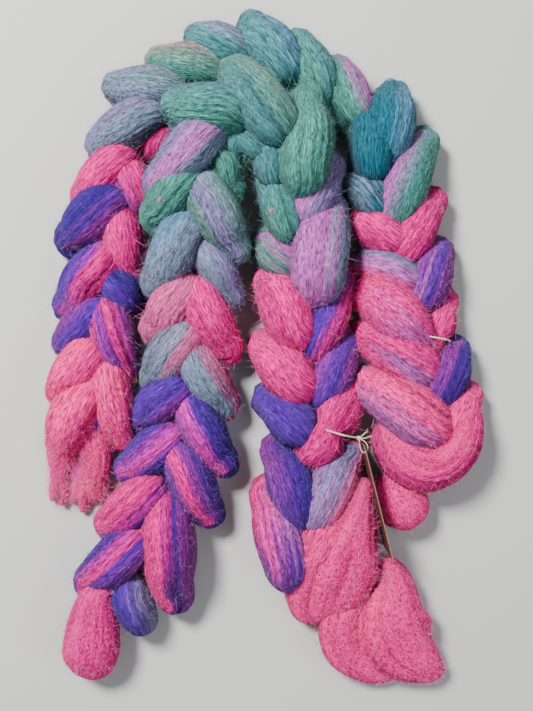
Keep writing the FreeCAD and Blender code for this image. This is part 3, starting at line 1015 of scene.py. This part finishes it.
def grow_hairs(roots, normals, along, reach, rng):
    """Closed three-sided slivers, as rows of points and the faces that join them."""
    count = len(roots)
    size = rng.lognormal(math.log(HAIR_LENGTH), 0.5, count)[:, None] * reach[:, None]
    size = np.minimum(size, LONGEST_HAIR) * MM
    lean = 0.08 + 1.1 * rng.uniform(0, 1, count)[:, None] ** 1.5
    stray = rng.normal(0, 0.32, (count, 3)) * reach[:, None] ** 3
    heading = unit(along * (1.1 - 0.5 * lean) + normals * lean + stray)
    bend = rng.normal(0, 0.36, (count, 3)) - normals * 0.08
    side = unit(np.cross(heading, rng.normal(0, 1, (count, 3))))
    other = np.cross(heading, side)
    radius = rng.uniform(0.06, 0.12, count)[:, None] * MM
    half_way = roots + (heading * 0.5 + bend * 0.25) * size
    tips = roots + (heading + bend) * size
    corners = []
    for middle, girth in ((roots - normals * 0.2 * MM, 1.0), (half_way, 0.85)):
        for turn in range(3):
            angle = 2 * math.pi * turn / 3
            out = side * math.cos(angle) + other * math.sin(angle)
            corners.append(middle + out * radius * girth)
    points = np.stack([*corners, tips], axis=1)
    points[..., 2] = np.maximum(points[..., 2], REST_HEIGHT)
    low = np.array(cad_box[0]) - HAIR_ROOM
    high = np.array(cad_box[1]) + HAIR_ROOM
    inside = np.all((points[..., :2] > low[:2]) & (points[..., :2] < high[:2]), axis=(1, 2))
    points = points[inside & np.all(points[..., 2] < high[2], axis=1)]
    start = np.arange(len(points))[:, None, None] * SLIVER_POINTS
    walls = np.array([[0, 1, 4, 3], [1, 2, 5, 4], [2, 0, 3, 5]]) + start
    root_and_tip = np.array([[0, 2, 1], [3, 4, 6], [4, 5, 6], [5, 3, 6]]) + start
    return points.reshape(-1, 3), walls.reshape(-1, 4), root_and_tip.reshape(-1, 3)


def add_hairs():
    rng = np.random.default_rng(77)
    names = list(HAIR_FAMILIES)
    # The family colours hold the dye's hue with a painted highlight.
    hair_family_colours = np.array([linear(HAIR_FAMILIES[name]) for name in names])
    finishes = {name: hair_material(name, HAIR_FAMILIES[name]) for name in names}
    for body, batches in hair_roots.items():
        roots, normals, along, colours, reach = (np.concatenate(part) for part in zip(*batches))
        tone = colours / colours.sum(axis=1, keepdims=True)
        wanted = hair_family_colours / hair_family_colours.sum(axis=1, keepdims=True)
        family = np.linalg.norm(tone[:, None] - wanted[None], axis=2).argmin(axis=1)
        free = roots[:, 2] > LOWEST_ROOT
        for index, name in enumerate(names):
            chosen = np.flatnonzero((family == index) & free)
            for first in range(0, len(chosen), HAIRS_IN_A_PIECE):
                batch = chosen[first:first + HAIRS_IN_A_PIECE]
                points, quads, caps = grow_hairs(roots[batch], normals[batch], along[batch],
                                                 reach[batch], rng)
                number = first // HAIRS_IN_A_PIECE + 1
                hair = make_mesh(f"{body}_{name}_hair_{number}", points, quads, caps)
                hair.data.materials.append(finishes[name])
                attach(hair, body)
                print(hair.name, len(points) // SLIVER_POINTS, "hairs")


add_hairs()

# %% [markdown]
# Specks. A fibre or two of another colour, or a bit of straw, always stays caught in combed wool.
# Each speck is a small tangle of short hairs, all from about the highest root near its place, so
# that it lies on top of the wool and not between two loops.

# %% Caught specks
SPECKS = [
    ("inner_speck_sage", INNER, (-75, 108), (0.95, 0.62, 0.74)),
    ("inner_speck_green", INNER, (8, 101), (0.96, 0.55, 0.70)),
    ("outer_speck_straw", OUTER, (-97, -29), (0.80, 0.72, 0.42)),
]
SPECK_HAIRS = 90
SPECK_REACH = 0.5
SPECK_SPREAD = 0.0006
SPECK_SEARCH = 0.004


def add_specks():
    rng = np.random.default_rng(9)
    for name, body, place, colour in SPECKS:
        roots, normals, along, _, _ = (np.concatenate(part) for part in zip(*hair_roots[body]))
        apart = np.linalg.norm(roots[:, :2] - np.array(place) * MM, axis=1)
        highest = np.argmax(roots[:, 2] - (apart > SPECK_SEARCH))
        near = np.full(SPECK_HAIRS, highest)
        spread = rng.normal(0, SPECK_SPREAD, (SPECK_HAIRS, 3))
        points, quads, caps = grow_hairs(roots[near] + spread, normals[near], along[near],
                                         np.full(SPECK_HAIRS, SPECK_REACH), rng)
        speck = make_mesh(name, points, quads, caps)
        speck.data.materials.append(hair_material(name, colour))
        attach(speck, body)
        print(name, "at", [round(float(c) / MM, 1) for c in roots[highest]], "mm")


add_specks()
meshes = [piece.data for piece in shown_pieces() if piece.type == "MESH"]
triangles = sum(len(mesh.loops) - 2 * len(mesh.polygons) for mesh in meshes)
print("triangles", triangles)
